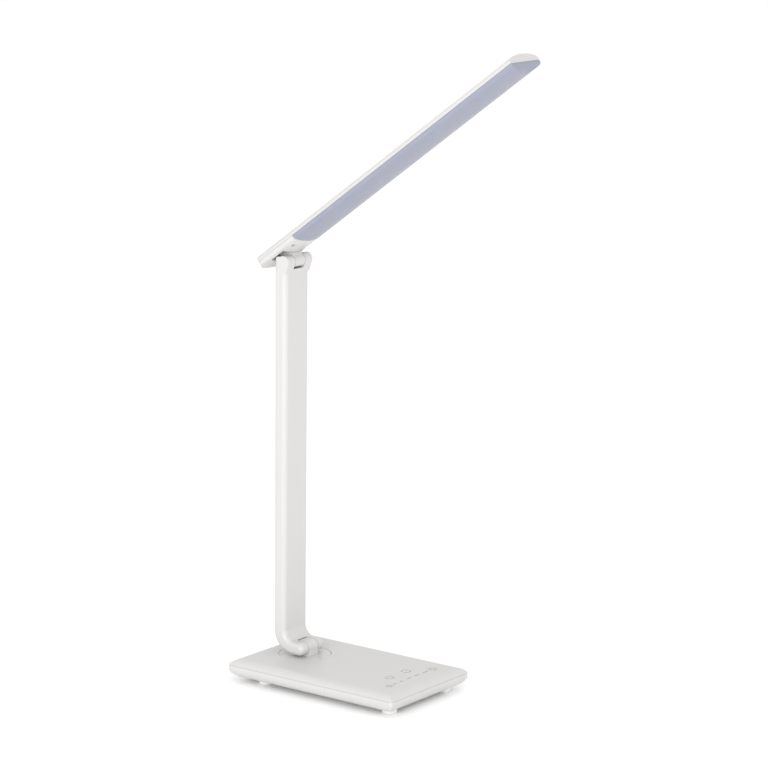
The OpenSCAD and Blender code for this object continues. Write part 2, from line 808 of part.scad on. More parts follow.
module arm_shell() {
    color("white") difference() {
        union() {
            difference() {
                arm_form(0, top_hinge_z - fairing_drop + 2);
                intersection() {
                    arm_form(arm_wall, cavity_top_z);
                    translate([-arm_w, cavity_front_y, 0]) cube([2 * arm_w, 2 * arm_t, 2 * top_hinge_z]);
                }
            }
            ear_form();
            for (z = arm_screw_z) {
                translate([0, arm_front_y + arm_wall / 2, z]) rotate([-90, 0, 0])
                    cylinder(h = arm_t - cover_t - arm_wall / 2, r = arm_boss_r);
            }
        }
        translate([-cover_half - 0.2, arm_back_y - cover_t, cover_low_z - 0.2])
            cube([2 * cover_half + 0.4, cover_t + over, cover_high_z - cover_low_z + 0.4]);
        for (z = arm_screw_z) {
            translate([0, arm_front_y + arm_wall + 1, z]) rotate([-90, 0, 0])
                cylinder(h = arm_t, r = thread_r);
        }
        across_x(-ear_in, ear_in, low_hinge_y, low_hinge_z, low_notch_r);
        translate([-ear_in, low_hinge_y - 2 * foot_t, low_hinge_z - foot_t])
            cube([2 * ear_in, 2 * foot_t, 2 * foot_t]);
        translate([-ear_in, arm_front_y - arm_t, top_notch_z]) cube([2 * ear_in, 3 * arm_t, 3 * arm_t]);
        hinge_bores(low_hinge_y, low_hinge_z);
        hinge_bores(top_hinge_y, top_hinge_z);
        translate([0, cavity_front_y - 4, lead_low_z]) rotate([-90, 0, 0])
            cylinder(h = 6, r = lead_r + fit_gap);
        translate([0, arm_mid_y, cavity_top_z - over]) cylinder(h = 6, r = lead_r + fit_gap);
    }
}

module arm_back_cover() {
    color("white") difference() {
        translate([-cover_half, arm_back_y - cover_t, cover_low_z])
            cube([2 * cover_half, cover_t, cover_high_z - cover_low_z]);
        for (z = arm_screw_z) {
            translate([0, 0, z]) rotate([-90, 0, 0]) cylinder(h = 2 * arm_back_y, r = clear_r);
            translate([0, arm_back_y - 1.4, z]) rotate([-90, 0, 0]) cylinder(h = arm_t, r = 2.5);
        }
    }
}

module arm_stiffener() {
    color("silver") difference() {
        translate([-stiffener_half, arm_front_y + arm_wall, cover_low_z + stiffener_in])
            cube([2 * stiffener_half, stiffener_t, cover_high_z - cover_low_z - 2 * stiffener_in]);
        for (z = arm_screw_z) {
            translate([0, 0, z]) rotate([-90, 0, 0]) cylinder(h = 2 * arm_back_y, r = arm_boss_r + 0.2);
        }
    }
}

module arm_screws() {
    color("silver") for (z = arm_screw_z) {
        translate([0, arm_back_y - 1.4, z]) rotate([-90, 0, 0])
            screw(arm_t - arm_wall - 2.8, head_r = 2.2, head_t = 1.2);
    }
}

module arm_lead() {
    color("white") lead([
        [0, cavity_front_y - 1.5, lead_low_z], [0, cavity_front_y + 1, lead_low_z],
        [0, arm_mid_y - 5, lead_low_z + 4.2], [0, arm_mid_y - 1, bend_z - 5], [0, arm_mid_y, bend_z + 5],
        [arm_lead_x, arm_mid_y, cover_low_z], [arm_lead_x, arm_mid_y, cavity_top_z - 16],
        [0, arm_mid_y, cavity_top_z - 4], [0, arm_mid_y, top_notch_z - 0.3]
    ], lead_r);
}

module hinge_shaft(y, z) {
    color("silver") {
        across_x(-shaft_end, shaft_head_x, y, z, shaft_r);
        difference() {
            across_x(shaft_head_x, shaft_head_x + shaft_head_t, y, z, shaft_head_r);
            translate([shaft_head_x + 1.2, y, z]) rotate([0, 90, 0])
                cylinder(h = shaft_head_t, r = 1.8, $fn = 6);
        }
    }
}

module lower_hinge_shaft() {
    hinge_shaft(low_hinge_y, low_hinge_z);
}

module upper_hinge_shaft() {
    hinge_shaft(top_hinge_y, top_hinge_z);
}

module friction_washers(y, z) {
    color("orange") for (x = [-knuckle_half - seat_gap - washer_t, knuckle_half + seat_gap]) {
        difference() {
            across_x(x, x + washer_t, y, z, washer_r);
            across_x(x - over, x + washer_t + over, y, z, shaft_r + fit_gap);
        }
    }
}

module lower_friction_washers() {
    friction_washers(low_hinge_y, low_hinge_z);
}

module upper_friction_washers() {
    friction_washers(top_hinge_y, top_hinge_z);
}

module hinge_caps() {
    color("white") {
        across_x(cap_out_x - cap_t, cap_out_x, low_hinge_y, low_hinge_z, cap_r);
        across_x(cap_out_x - cap_t, cap_out_x, top_hinge_y, top_hinge_z, cap_r);
    }
}

// The head is drawn level, with the hinge axis at the origin and the tip towards -Y
module on_hinge() {
    translate([0, top_hinge_y, top_hinge_z]) rotate([-head_angle, 0, 0]) children();
}

// Cross-section of the head, drawn in by i
module head_section(i) {
    crown_x = (head_half - top_edge_r) * (crown_r - i) / (crown_r - top_edge_r) - skin;
    belly_x = belly_side_x * (belly_r - i) / (belly_r - belly_side_r) - skin;
    intersection() {
        translate([-head_half + i, head_mid]) square([head_w - 2 * i, head_top - head_mid]);
        union() {
            translate([-head_half, 0]) square([head_w, edge_top]);
            intersection() {
                translate([-crown_x, 0]) square([2 * crown_x, head_top]);
                translate([0, head_top - crown_r]) circle(crown_r - i, $fn = 720);
            }
            for (s = [-1, 1]) {
                translate([s * (head_half - top_edge_r), edge_top]) circle(max(top_edge_r - i, least_r));
            }
        }
    }
    intersection() {
        translate([-head_half, head_low]) square([head_w, belly_h]);
        union() {
            for (s = [-1, 1]) {
                translate([s * belly_side_x, head_mid]) circle(max(belly_side_r - i, least_r));
            }
            intersection() {
                translate([-belly_x, head_low]) square([2 * belly_x, belly_h]);
                translate([0, head_low + belly_r]) circle(belly_r - i, $fn = 360);
            }
        }
    }
}

module side_corner(p, way, r) {
    rotate([90, 0, 90]) linear_extrude(2 * head_w, center = true) corner_cut(p, way, r);
}

module plan_corner(p, way, r) {
    linear_extrude(2 * head_top) corner_cut(p, way, r);
}

// Outer form of the head, drawn in by i
module head_form(i) {
    side = head_half - i + skin;
    tip = i - head_reach - skin;
    tail = head_tail - i + skin;
    low = head_low + i - skin;
    high = head_top - i + skin;
    difference() {
        translate([0, head_tail - i, 0]) rotate([90, 0, 0])
            linear_extrude(head_reach + head_tail - 2 * i) head_section(i);
        side_corner([tip, low], [1, 1], max(tip_low_r - i, least_r));
        side_corner([tail, low], [-1, 1], max(tail_low_r - i, least_r));
        side_corner([tail, high], [-1, -1], max(tail_top_r - i, least_r));
        side_corner([tip, high], [1, -1], max(tip_top_r - i, least_r));
        for (s = [-1, 1]) {
            plan_corner([s * side, tip], [-s, 1], max(tip_plan_r - i, least_r));
            plan_corner([s * side, tail], [-s, -1], max(tail_plan_r - i, least_r));
        }
    }
}

// A box across the head from y0 to y1 and z0 to z1
module head_block(y0, y1, z0, z1, half = head_w) {
    translate([-half, y0, z0]) cube([2 * half, y1 - y0, z1 - z0]);
}

module rib_points(z) {
    for (y = rib_at, x = [-light_screw_x, light_screw_x]) {
        translate([x, y, z]) children();
    }
}

// Rim that stands up inside the top cover of the head
module head_lip(y0, y1) {
    difference() {
        intersection() {
            head_form(head_wall + 0.15);
            head_block(y0, y1, head_part - 1.6, head_part + 1.5);
        }
        head_form(head_wall + 1.15);
    }
    difference() {
        intersection() {
            head_form(head_wall - 0.3);
            head_block(y0, y1, head_part - 1.6, head_part - 0.5);
        }
        head_form(head_wall + 1.15);
    }
}

module head_top_cover() {
    low_z = head_part + part_gap / 2;
    color("white") on_hinge() difference() {
        union() {
            difference() {
                head_form(0);
                head_block(-2 * head_reach, head_reach, 0, low_z);
                head_form(head_wall);
            }
            intersection() {
                head_form(head_wall / 2);
                union() {
                    for (y = rib_at) {
                        head_block(y - rib_t / 2, y + rib_t / 2, spreader_top, head_top, light_screw_x);
                    }
                    rib_points(spreader_top) cylinder(h = head_top, r = 2.2);
                    at_each(head_screws_at, low_z) cylinder(h = head_top, r = 2.6);
                }
            }
        }
        rib_points(spreader_top - over)
            cylinder(h = light_hole_top - spreader_top + over, r = light_screw_r + 0.04);
        at_each(head_screws_at, low_z - over)
            cylinder(h = head_hole_top - low_z + over, r = head_screw_r + 0.04);
    }
}

module head_bottom_frame() {
    high_z = head_part - part_gap / 2;
    color("white") on_hinge() difference() {
        union() {
            intersection() {
                difference() {
                    head_form(0);
                    difference() {
                        head_form(head_wall);
                        head_block(-head_reach, end_wall_t - diffuser_start, 0, high_z);
                        head_block(-pocket_front - pocket_wall, pocket_back + pocket_wall, 0, knuckle_seat,
                            pocket_half + pocket_wall);
                        at_each(knuckle_bolts, 0) cylinder(h = knuckle_seat, r = 3);
                        at_each(head_screws_at, 0) cylinder(h = high_z, r = 3);
                    }
                }
                head_block(-diffuser_start, head_reach, 0, high_z);
            }
            head_lip(end_wall_t - diffuser_start, head_tail);
        }
        head_block(-pocket_front, pocket_back, 0, pocket_top, pocket_half);
        head_block(-neck_front - 0.15, neck_back + 0.15, 0, head_top, knuckle_half + 0.15);
        at_each(knuckle_bolts, head_low + head_wall + 1) cylinder(h = knuckle_seat, r = bolt_r + 0.04);
        at_each(head_screws_at, 0) cylinder(h = head_screw_seat_z, r = head_screw_head_r + 0.25);
        at_each(head_screws_at, 0) cylinder(h = head_top, r = head_screw_r + 0.2);
    }
}

module head_knuckle() {
    color("lightgray") on_hinge() difference() {
        union() {
            across_x(-knuckle_half, knuckle_half, 0, 0, top_barrel_r);
            head_block(-neck_front, neck_back, 0, knuckle_seat + 0.4, knuckle_half);
            head_block(-flange_front, flange_back, knuckle_seat, knuckle_seat + knuckle_flange_t,
                flange_half);
        }
        across_x(-knuckle_half - over, knuckle_half + over, 0, 0, shaft_r + fit_gap);
        translate([0, channel_y, -2 * top_barrel_r]) cylinder(h = 2 * head_top, r = thin_lead_r + 0.05);
        at_each(knuckle_bolts, 0) cylinder(h = 2 * head_top, r = bolt_r + 0.3);
    }
}

module head_knuckle_screws() {
    color("silver") on_hinge() at_each(knuckle_bolts, knuckle_seat + knuckle_flange_t)
        screw(knuckle_screw_long, r = bolt_r, head_r = 2, head_t = 1.4);
}

module head_screws() {
    color("silver") on_hinge() at_each(head_screws_at, head_screw_seat_z) mirror([0, 0, 1])
        screw(head_hole_top - head_screw_seat_z - 0.3, r = head_screw_r, head_r = head_screw_head_r,
            head_t = 1.2);
}

module diffuser() {
    color("lavender") on_hinge() difference() {
        union() {
            intersection() {
                difference() {
                    head_form(0);
                    head_form(diffuser_wall);
                }
                head_block(-2 * head_reach, -diffuser_start - 0.1, 0, head_part - part_gap / 2);
            }
            head_lip(-2 * head_reach, -diffuser_start - 1);
            difference() {
                head_block(light_end, light_start, head_part - 1.6, reflector_low, ledge_out);
                head_block(light_end - over, light_start + over, 0, head_top, ledge_in);
            }
        }
    }
}

module reflector() {
    color("white") on_hinge() difference() {
        head_block(light_end - 5, light_start - 0.3, reflector_low, led_board_low, reflector_half);
        head_block(light_end + 2, light_start - 2, 0, head_top, reflector_slot);
    }
}

module led_board() {
    color("ivory") on_hinge()
        head_block(light_end, light_start, led_board_low, spreader_low, led_board_half);
}

module leds() {
    step = (light_end + 12 - light_start) / max(led_count - 1, 1);
    color("yellow") on_hinge() for (k = [0:led_count - 1], s = [-1, 1]) {
        translate([s * led_x, light_start - 6 + k * step, led_board_low - led_size[2] / 2])
            cube(led_size, center = true);
    }
}

module heat_spreader() {
    color("silver") on_hinge() difference() {
        head_block(light_end, light_start, spreader_low, spreader_top, spreader_half);
        rib_points(0) cylinder(h = head_top, r = light_screw_r + 0.2);
    }
}

module light_screws() {
    color("silver") on_hinge() rib_points(spreader_low) mirror([0, 0, 1])
        screw(light_hole_top - spreader_low - 0.3, r = light_screw_r, head_r = 1.7, head_t = 0.9);
}

module head_lead() {
    lead_z = knuckle_seat + knuckle_flange_t + thin_lead_r + 0.1;
    board_mid_z = led_board_low + led_board_t / 2;
    color("white") on_hinge() lead([
        [0, channel_y, -2], [0, channel_y, lead_z], [0, end_wall_t - diffuser_start, lead_z],
        [0, light_start + 4, board_mid_z], [0, light_start, board_mid_z]
    ], thin_lead_r);
}

base_top_cover();
base_bottom_cover();
base_feet();
base_screws();
counterweight_plate();
counterweight_screws();
control_board();
board_components();
board_screws();
touch_sensor_sheet();
dc_jack();
jack_lead();
base_lead();
bearing_plate();
bearing_screws();
swivel_bush();
swivel_casting();
turntable_disc();
disc_screws();
slip_washer();
spring_washer();
spindle_nut();
arm_shell();
arm_back_cover();
arm_stiffener();
arm_screws();
arm_lead();
lower_hinge_shaft();
upper_hinge_shaft();
lower_friction_washers();
upper_friction_washers();
hinge_caps();
head_knuckle();
head_knuckle_screws();
head_top_cover();
head_bottom_frame();
head_screws();
diffuser();
reflector();
led_board();
leds();
heat_spreader();
light_screws();
head_lead();
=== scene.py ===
"""Looks of the folding desk lamp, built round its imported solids. Lengths are metres."""

import math

import bmesh
import bpy
from mathutils import Matrix, Vector


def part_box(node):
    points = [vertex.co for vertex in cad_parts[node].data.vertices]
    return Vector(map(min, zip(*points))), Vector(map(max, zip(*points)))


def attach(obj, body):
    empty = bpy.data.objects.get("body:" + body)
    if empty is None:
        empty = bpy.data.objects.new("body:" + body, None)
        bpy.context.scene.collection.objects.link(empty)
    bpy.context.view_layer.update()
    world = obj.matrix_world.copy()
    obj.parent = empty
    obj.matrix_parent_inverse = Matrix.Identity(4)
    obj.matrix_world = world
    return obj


bl_info = {
    "name": "Folding desk lamp looks",
    "version": (1, 0, 0),
    "blender": (4, 5, 0),
    "location": "3D View > Sidebar > Desk lamp",
    "description": "Finishes, touch marks and studio for the folding desk lamp",
    "category": "Object",
}

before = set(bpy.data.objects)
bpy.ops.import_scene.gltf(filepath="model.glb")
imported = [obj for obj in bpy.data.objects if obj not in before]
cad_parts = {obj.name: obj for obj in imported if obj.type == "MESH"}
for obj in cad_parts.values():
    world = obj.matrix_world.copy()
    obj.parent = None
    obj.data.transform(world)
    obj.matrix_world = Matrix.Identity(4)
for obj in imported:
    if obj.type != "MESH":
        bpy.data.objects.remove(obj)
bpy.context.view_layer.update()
MM = 0.001
PRINT_LIFT = 0.02 * MM
# How far the roughness of a finish runs to either side of its middle value
GLOSS_SPREAD = 0.05


class LampFinishSettings(bpy.types.PropertyGroup):
    """Colours and gloss of the moulded and painted parts."""

    cover_colour: bpy.props.FloatVectorProperty(
        name="Cover colour",
        description="Warm white of the moulded covers, the arm and the turntable disc",
        subtype="COLOR",
        size=3,
        min=0.0,
        max=1.0,
        default=(0.545, 0.537, 0.529),
    )
    cover_gloss: bpy.props.FloatProperty(
        name="Cover roughness",
        description="Roughness of the satin covers",
        subtype="FACTOR",
        min=0.05,
        max=1.0,
        default=0.34,
    )
    diffuser_colour: bpy.props.FloatVectorProperty(
        name="Diffuser colour",
        description="Faint lavender of the opal diffuser, unlit",
        subtype="COLOR",
        size=3,
        min=0.0,
        max=1.0,
        default=(0.262, 0.272, 0.338),
    )
    mark_colour: bpy.props.FloatVectorProperty(
        name="Touch mark colour",
        description="Grey of the marks printed on the base",
        subtype="COLOR",
        size=3,
        min=0.0,
        max=1.0,
        default=(0.12, 0.115, 0.11),
    )


class TouchMarkSettings(bpy.types.PropertyGroup):
    """Sizes and places of the printed touch marks."""

    ring_diameter: bpy.props.FloatProperty(
        name="Ring diameter",
        description="Outer size of the two round touch marks",
        subtype="DISTANCE",
        unit="LENGTH",
        default=9.0 * MM,
    )
    ring_offset: bpy.props.FloatProperty(
        name="Ring offset",
        description="Sideways distance of the two round marks from the middle of the base",
        subtype="DISTANCE",
        unit="LENGTH",
        default=12.7 * MM,
    )
    ring_row: bpy.props.FloatProperty(
        name="Ring row",
        description="Distance of the two round marks in front of the middle of the base",
        subtype="DISTANCE",
        unit="LENGTH",
        default=58.1 * MM,
    )
    slider_row: bpy.props.FloatProperty(
        name="Slider row",
        description="Distance of the brightness slider in front of the middle of the base",
        subtype="DISTANCE",
        unit="LENGTH",
        default=73.6 * MM,
    )
    stroke: bpy.props.FloatProperty(
        name="Stroke",
        description="Width of the printed lines",
        subtype="DISTANCE",
        unit="LENGTH",
        default=0.6 * MM,
    )


class StudioSettings(bpy.types.PropertyGroup):
    """Floor, lights and camera."""

    key_power: bpy.props.FloatProperty(
        name="Key light",
        description="Power of the large light to the left of the camera",
        min=0.0,
        default=53.0,
    )
    fill_power: bpy.props.FloatProperty(
        name="Fill light",
        description="Power of the large light to the right of the camera",
        min=0.0,
        default=15.5,
    )
    sky: bpy.props.FloatProperty(
        name="Surround",
        description="Strength of the even light from all round",
        min=0.0,
        default=1.03,
    )
    floor_colour: bpy.props.FloatVectorProperty(
        name="Floor colour",
        description="Pale colour of the floor",
        subtype="COLOR",
        size=3,
        min=0.0,
        max=1.0,
        default=(0.98, 0.98, 0.98),
    )


# ---- Materials


def new_material(name):
    m = bpy.data.materials.new(name)
    m.use_nodes = True
    tree = m.node_tree
    tree.nodes.clear()
    out = tree.nodes.new("ShaderNodeOutputMaterial")
    skin = tree.nodes.new("ShaderNodeBsdfPrincipled")
    tree.links.new(skin.outputs["BSDF"], out.inputs["Surface"])
    return m, tree, skin


def moulded_surface():
    """Node group: slow colour drift, uneven gloss and fine grain of a moulded surface."""
    name = "moulded_surface"
    if name in bpy.data.node_groups:
        return bpy.data.node_groups[name]
    g = bpy.data.node_groups.new(name, "ShaderNodeTree")

    def socket(way, label, kind, default=None):
        s = g.interface.new_socket(name=label, in_out=way, socket_type=kind)
        if default is not None:
            s.default_value = default

    socket("INPUT", "Tint", "NodeSocketColor", (0.8, 0.8, 0.8, 1.0))
    socket("INPUT", "Shade", "NodeSocketColor", (0.7, 0.7, 0.7, 1.0))
    socket("INPUT", "Gloss low", "NodeSocketFloat", 0.3)
    socket("INPUT", "Gloss high", "NodeSocketFloat", 0.4)
    socket("INPUT", "Drift size", "NodeSocketFloat", 20.0)
    socket("INPUT", "Grain size", "NodeSocketFloat", 2500.0)
    socket("INPUT", "Grain height", "NodeSocketFloat", 0.05)
    socket("OUTPUT", "Colour", "NodeSocketColor")
    socket("OUTPUT", "Gloss", "NodeSocketFloat")
    socket("OUTPUT", "Normal", "NodeSocketVector")
    n, link = g.nodes, g.links.new
    come = n.new("NodeGroupInput")
    go = n.new("NodeGroupOutput")
    where = n.new("ShaderNodeTexCoord")
    drift = n.new("ShaderNodeTexNoise")
    drift.inputs["Detail"].default_value = 3.0
    grain = n.new("ShaderNodeTexNoise")
    grain.inputs["Detail"].default_value = 4.0
    link(where.outputs["Object"], drift.inputs["Vector"])
    link(where.outputs["Object"], grain.inputs["Vector"])
    link(come.outputs["Drift size"], drift.inputs["Scale"])
    link(come.outputs["Grain size"], grain.inputs["Scale"])
    mix = n.new("ShaderNodeMix")
    mix.data_type = "RGBA"
    link(drift.outputs["Fac"], mix.inputs["Factor"])
    link(come.outputs["Tint"], mix.inputs["A"])
    link(come.outputs["Shade"], mix.inputs["B"])
    link(mix.outputs["Result"], go.inputs["Colour"])
    span = n.new("ShaderNodeMapRange")
    link(grain.outputs["Fac"], span.inputs["Value"])
    link(come.outputs["Gloss low"], span.inputs["To Min"])
    link(come.outputs["Gloss high"], span.inputs["To Max"])
    link(span.outputs["Result"], go.inputs["Gloss"])
    bump = n.new("ShaderNodeBump")
    bump.inputs["Distance"].default_value = 0.1 * MM
    link(grain.outputs["Fac"], bump.inputs["Height"])
    link(come.outputs["Grain height"], bump.inputs["Strength"])
    link(bump.outputs["Normal"], go.inputs["Normal"])
    return g


def moulded(name, tint, gloss, drift=0.96, grain=2500.0, height=0.05, drift_size=18.0):
    """A material whose colour, gloss and grain come from the moulded_surface group."""
    m, tree, skin = new_material(name)
    g = tree.nodes.new("ShaderNodeGroup")
    g.node_tree = moulded_surface()
    g.inputs["Tint"].default_value = (*tint, 1.0)
    g.inputs["Shade"].default_value = (*(c * drift for c in tint), 1.0)
    g.inputs["Gloss low"].default_value = max(gloss - GLOSS_SPREAD, 0.02)
    g.inputs["Gloss high"].default_value = min(gloss + GLOSS_SPREAD, 1.0)
    g.inputs["Drift size"].default_value = drift_size
    g.inputs["Grain size"].default_value = grain
    g.inputs["Grain height"].default_value = height
    tree.links.new(g.outputs["Colour"], skin.inputs["Base Color"])
    tree.links.new(g.outputs["Gloss"], skin.inputs["Roughness"])
    tree.links.new(g.outputs["Normal"], skin.inputs["Normal"])
    return m, skin


def dress(material, *nodes):
    """Gives CAD nodes a material."""
    for name in nodes:
        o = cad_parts[name]
        if not o.material_slots:
            o.data.materials.append(material)
        for s in o.material_slots:
            s.material = material


class LAMP_OT_white_covers(bpy.types.Operator):
    """Satin warm white for the covers, the arm, the turntable and the painted castings"""

    bl_idname = "lamp.white_covers"
    bl_label = "White covers"

    def execute(self, context):
        s = context.scene.lamp_finish
        cover, skin = moulded("white_cover_plastic", s.cover_colour, s.cover_gloss)
        skin.inputs["IOR"].default_value = 1.5
        skin.inputs["Coat Weight"].default_value = 0.12
        skin.inputs["Coat Roughness"].default_value = 0.2
        dress(
            cover,
            "base_top_cover",
            "base_bottom_cover",
            "turntable_disc",
            "arm_shell",
            "arm_back_cover",
            "hinge_caps",
            "head_top_cover",
            "head_bottom_frame",
        )
        paint, skin = moulded(
            "white_casting_paint", s.cover_colour, gloss=0.4, drift=0.97, grain=1400.0, height=0.12
        )
        skin.inputs["Coat Weight"].default_value = 0.2
        skin.inputs["Coat Roughness"].default_value = 0.3
        dress(paint, "swivel_casting", "head_knuckle")
        return {"FINISHED"}


class LAMP_OT_diffuser(bpy.types.Operator):
    """Opal, faintly lavender plastic for the diffuser under the head"""

    bl_idname = "lamp.diffuser"
    bl_label = "Diffuser"

    def execute(self, context):
        s = context.scene.lamp_finish
        opal, skin = moulded(
            "opal_diffuser_plastic",
            s.diffuser_colour,
            gloss=0.36,
            drift=0.97,
            grain=1800.0,
            height=0.04,
        )
        skin.inputs["Subsurface Weight"].default_value = 0.25
        skin.inputs["Subsurface Radius"].default_value = (0.004, 0.004, 0.006)
        skin.inputs["Subsurface Scale"].default_value = 1.0
        skin.inputs["IOR"].default_value = 1.49
        dress(opal, "diffuser")
        return {"FINISHED"}


class LAMP_OT_foot_pads(bpy.types.Operator):
    """Milky soft rubber for the four foot pads"""

    bl_idname = "lamp.foot_pads"
    bl_label = "Foot pads"

    def execute(self, context):
        pad, skin = moulded(
            "milky_pad_rubber", (0.7, 0.7, 0.69), gloss=0.6, drift=0.94, grain=900.0, height=0.1
        )
        skin.inputs["Subsurface Weight"].default_value = 0.25
        skin.inputs["Subsurface Radius"].default_value = (0.002, 0.002, 0.002)
        skin.inputs["Subsurface Scale"].default_value = 1.0
        dress(pad, "base_feet")
        return {"FINISHED"}


# Finishes of the inner parts: colour, roughness, colour drift, grain size, grain height,
# metallic, and the nodes that have it
INNER_FINISHES = {
    "bright_zinc_plate": (
        (0.62, 0.63, 0.66), 0.3, 0.9, 700.0, 0.2, 1.0,
        (
            "base_screws", "counterweight_screws", "board_screws", "bearing_screws", "disc_screws",
            "arm_screws", "head_knuckle_screws", "light_screws", "bearing_plate", "spindle_nut",
            "arm_stiffener",
        ),
    ),
    "ground_steel": (
        (0.55, 0.56, 0.58), 0.2, 0.93, 1600.0, 0.1, 1.0,
        ("lower_hinge_shaft", "upper_hinge_shaft", "spring_washer"),
    ),
    "black_oxide_steel": (
        (0.03, 0.03, 0.033), 0.42, 0.7, 900.0, 0.2, 0.8,
        ("counterweight_plate", "head_screws"),
    ),
    "board_mask_green": ((0.02, 0.16, 0.06), 0.3, 0.8, 500.0, 0.1, 0.0, ("control_board",)),
    "black_moulding": (
        (0.018, 0.018, 0.02), 0.4, 0.8, 1500.0, 0.15, 0.0,
        ("board_components", "dc_jack"),
    ),
    "copper_foil": ((0.72, 0.35, 0.2), 0.28, 0.85, 400.0, 0.1, 1.0, ("touch_sensor_sheet",)),
    "red_lead_sleeve": ((0.5, 0.02, 0.015), 0.45, 0.85, 1200.0, 0.1, 0.0, ("jack_lead",)),
    "white_lead_sleeve": (
        (0.75, 0.75, 0.73), 0.45, 0.93, 1200.0, 0.1, 0.0,
        ("base_lead", "arm_lead", "head_lead"),
    ),
    "natural_nylon": (
        (0.78, 0.75, 0.66), 0.5, 0.93, 900.0, 0.1, 0.0,
        ("swivel_bush", "slip_washer"),
    ),
    "ground_bronze": (
        (0.6, 0.4, 0.18), 0.3, 0.85, 1500.0, 0.15, 1.0,
        ("lower_friction_washers", "upper_friction_washers"),
    ),
    "white_reflector_film": ((0.9, 0.9, 0.9), 0.25, 0.97, 600.0, 0.05, 0.0, ("reflector",)),
    "white_board_mask": ((0.82, 0.82, 0.8), 0.35, 0.95, 700.0, 0.08, 0.0, ("led_board",)),
    "yellow_phosphor": ((0.85, 0.68, 0.16), 0.3, 0.9, 1500.0, 0.05, 0.0, ("leds",)),
    "rolled_aluminium": ((0.78, 0.79, 0.8), 0.32, 0.92, 1100.0, 0.15, 1.0, ("heat_spreader",)),
}


class LAMP_OT_inner_parts(bpy.types.Operator):
    """Finishes for what is inside the base, the arm, the hinges and the head"""

    bl_idname = "lamp.inner_parts"
    bl_label = "Inner parts"

    def execute(self, context):
        for name, (tint, gloss, drift, grain, height, metallic, nodes) in INNER_FINISHES.items():
            finish, skin = moulded(name, tint, gloss, drift, grain, height)
            skin.inputs["Metallic"].default_value = metallic
            dress(finish, *nodes)
        return {"FINISHED"}


# ---- Touch marks


def printed_stroke():
    """Geometry nodes: a flat printed line of a given width along every edge of a path."""
    name = "printed_stroke"
    if name in bpy.data.node_groups:
        return bpy.data.node_groups[name]
    g = bpy.data.node_groups.new(name, "GeometryNodeTree")
    face = g.interface
    face.new_socket(name="Geometry", in_out="INPUT", socket_type="NodeSocketGeometry")
    face.new_socket(name="Width", in_out="INPUT", socket_type="NodeSocketFloat")
    face.new_socket(name="Height", in_out="INPUT", socket_type="NodeSocketFloat")
    face.new_socket(name="Ink", in_out="INPUT", socket_type="NodeSocketMaterial")
    face.new_socket(name="Geometry", in_out="OUTPUT", socket_type="NodeSocketGeometry")
    n, link = g.nodes, g.links.new
    come = n.new("NodeGroupInput")
    go = n.new("NodeGroupOutput")
    path = n.new("GeometryNodeMeshToCurve")
    band = n.new("GeometryNodeCurvePrimitiveQuadrilateral")
    sweep = n.new("GeometryNodeCurveToMesh")
    sweep.inputs["Fill Caps"].default_value = True
    real = n.new("GeometryNodeRealizeInstances")
    ink = n.new("GeometryNodeSetMaterial")
    link(come.outputs["Geometry"], path.inputs["Mesh"])
    link(come.outputs["Width"], band.inputs["Width"])
    link(come.outputs["Height"], band.inputs["Height"])
    link(path.outputs["Curve"], sweep.inputs["Curve"])
    link(band.outputs["Curve"], sweep.inputs["Profile Curve"])
    link(sweep.outputs["Mesh"], real.inputs["Geometry"])
    link(real.outputs["Geometry"], ink.inputs["Geometry"])
    link(come.outputs["Ink"], ink.inputs["Material"])
    link(ink.outputs["Geometry"], go.inputs["Geometry"])
    return g


def printed(name, paths, width, ink):
    """Prints closed or open paths on the top of the base, as a plain mesh."""
    mesh = bpy.data.meshes.new(name + "_path")
    verts, edges = [], []
    for points, closed in paths:
        first = len(verts)
        verts += points
        edges += [(first + k, first + k + 1) for k in range(len(points) - 1)]
        if closed:
            edges.append((first + len(points) - 1, first))
    mesh.from_pydata(verts, edges, [])
    o = bpy.data.objects.new(name, mesh)
    bpy.context.scene.collection.objects.link(o)
    tree = printed_stroke()
    mod = o.modifiers.new("stroke", "NODES")
    mod.node_group = tree
    key = {s.name: s.identifier for s in tree.interface.items_tree if s.in_out == "INPUT"}
    mod[key["Width"]] = width
    mod[key["Height"]] = 2 * PRINT_LIFT
    mod[key["Ink"]] = ink
    bpy.context.view_layer.update()
    flat = bpy.data.meshes.new_from_object(o.evaluated_get(bpy.context.evaluated_depsgraph_get()))
    o.modifiers.clear()
    o.data = flat
    flat.name = name
    bpy.data.meshes.remove(mesh)
    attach(o, "base")


def arc(centre, radius, start, sweep, z, steps=40):
    """Points of an arc, angles in degrees from +X."""
    x, y = centre
    return [
        (
            x + radius * math.cos(math.radians(start + sweep * k / steps)),
            y + radius * math.sin(math.radians(start + sweep * k / steps)),
            z,
        )
        for k in range(steps + 1)
    ]


# The slider from left to right, in millimetres: middle and length of each dash
SLIDER_DASHES = ((-25.6, 3.6), (-15.0, 4.6), (-3.4, 6.0), (8.8, 6.8), (22.0, 8.6))
# Middle and disc radius of the two suns at its ends, in millimetres
SUNS = {"dim_sun_mark": (-34.0, 2.1), "bright_sun_mark": (34.0, 2.9)}
SUN_RAYS = 8
# Where the rays start and end, in disc radii
RAY_START, RAY_END = 1.55, 2.0
# Widths of the dashes and of the suns' lines, in strokes
DASH_WIDTH, SUN_WIDTH = 1.4, 0.9


def power_paths(x, y, r, z):
    """A ring open at the top, with a bar in the opening."""
    half_opening, bar_start, bar_end = 28, 0.25 * r, 1.05 * r
    ring = arc((x, y), r, 90 + half_opening, 360 - 2 * half_opening, z)
    return [(ring, False), ([(x, y + bar_start, z), (x, y + bar_end, z)], False)]


